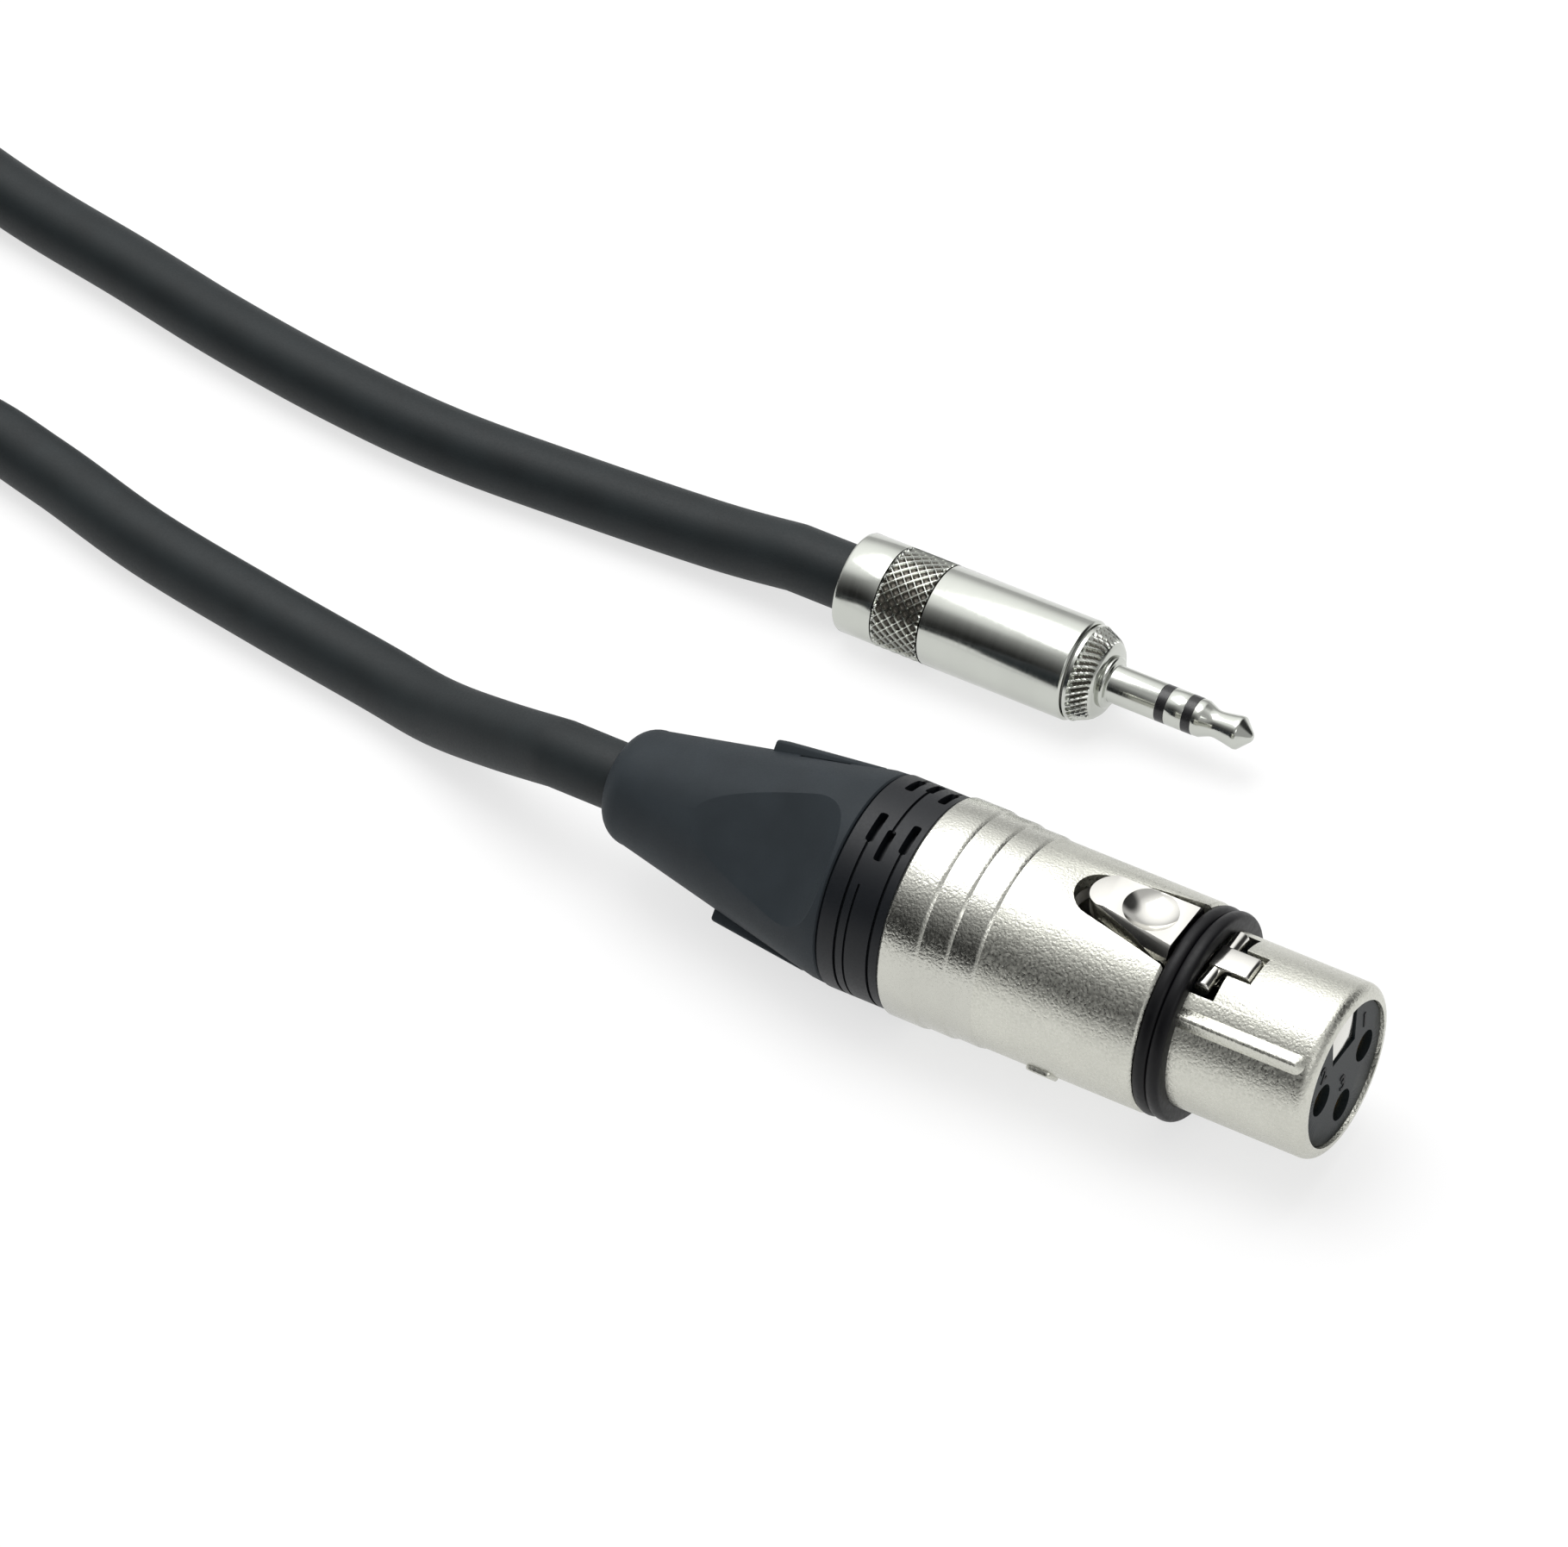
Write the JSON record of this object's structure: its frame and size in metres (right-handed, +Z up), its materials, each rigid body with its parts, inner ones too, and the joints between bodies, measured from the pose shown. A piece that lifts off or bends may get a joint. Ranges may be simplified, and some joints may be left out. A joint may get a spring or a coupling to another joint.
{
  "type": "audio cable with 3-pole socket and 3.5 mm jack",
  "caption": "Audio lead: round three-pole cable socket with a push latch, ribbed boot and black cable, its slack wound in a tied coil, and a straight 3.5 mm stereo jack plug.",
  "frame": {"origin": "centre of the socket insert's mating face", "axes": "+X out of the mating face along the socket's axis, +Z up through the push latch; the lead lies on the plane z = -0.01005"},
  "size_m": [0.2643, 0.0819, 0.0281],
  "materials": {
    "satin_nickel": "satin nickel on a die casting",
    "polished_metal": "polished nickel",
    "black_rubber": "smooth soft polymer, half matte",
    "black_plastic": "fine moulded",
    "white_plastic": "moulded",
    "red_plastic": "wire insulation",
    "blue_plastic": "wire insulation",
    "cable_jacket": "matte extruded jacket",
    "tie_fabric": "hook-and-loop tape",
    "contact_brass": "plated, bright",
    "spring_steel": "drawn wire",
    "bare_copper": "twisted screen wires"
  },
  "bodies": {
    "lead": {"shell": "satin_nickel", "seal_ring": "black_rubber", "insert": "black_plastic", "contact_1": "contact_brass", "contact_2": "contact_brass", "contact_3": "contact_brass", "latch_spring": "spring_steel", "ground_clip": "contact_brass", "chuck": "white_plastic", "boot_collar": "black_plastic", "boot_gland": "black_rubber", "jacket_in_socket": "cable_jacket", "conductor_1": "white_plastic", "conductor_2": "red_plastic", "conductor_3": "blue_plastic", "cable_socket_end": "cable_jacket", "cable_coil": "cable_jacket", "cable_jack_end": "cable_jacket", "coil_tie": "tie_fabric", "jacket_in_jack": "cable_jacket", "jack_handle": "polished_metal", "jack_liner": "white_plastic", "jack_sleeve": "polished_metal", "ring_insulator": "black_plastic", "jack_ring": "polished_metal", "tip_insulator": "black_plastic", "jack_tip": "polished_metal", "jack_wire_tip": "red_plastic", "jack_wire_ring": "white_plastic", "jack_wire_sleeve": "bare_copper"},
    "push_latch": {"latch": "polished_metal"}
  },
  "joints": [
    {"name": "latch_press", "type": "hinge", "parent": "lead", "child": "push_latch", "pos_m": [-0.002, 0, 0.0042], "axis": [0, -1, 0], "range_deg": [0, 5.3], "stiffness_Nm_per_rad": 0.5, "springref_deg": -5.73, "deforming": ["latch_spring"]}
  ]
}
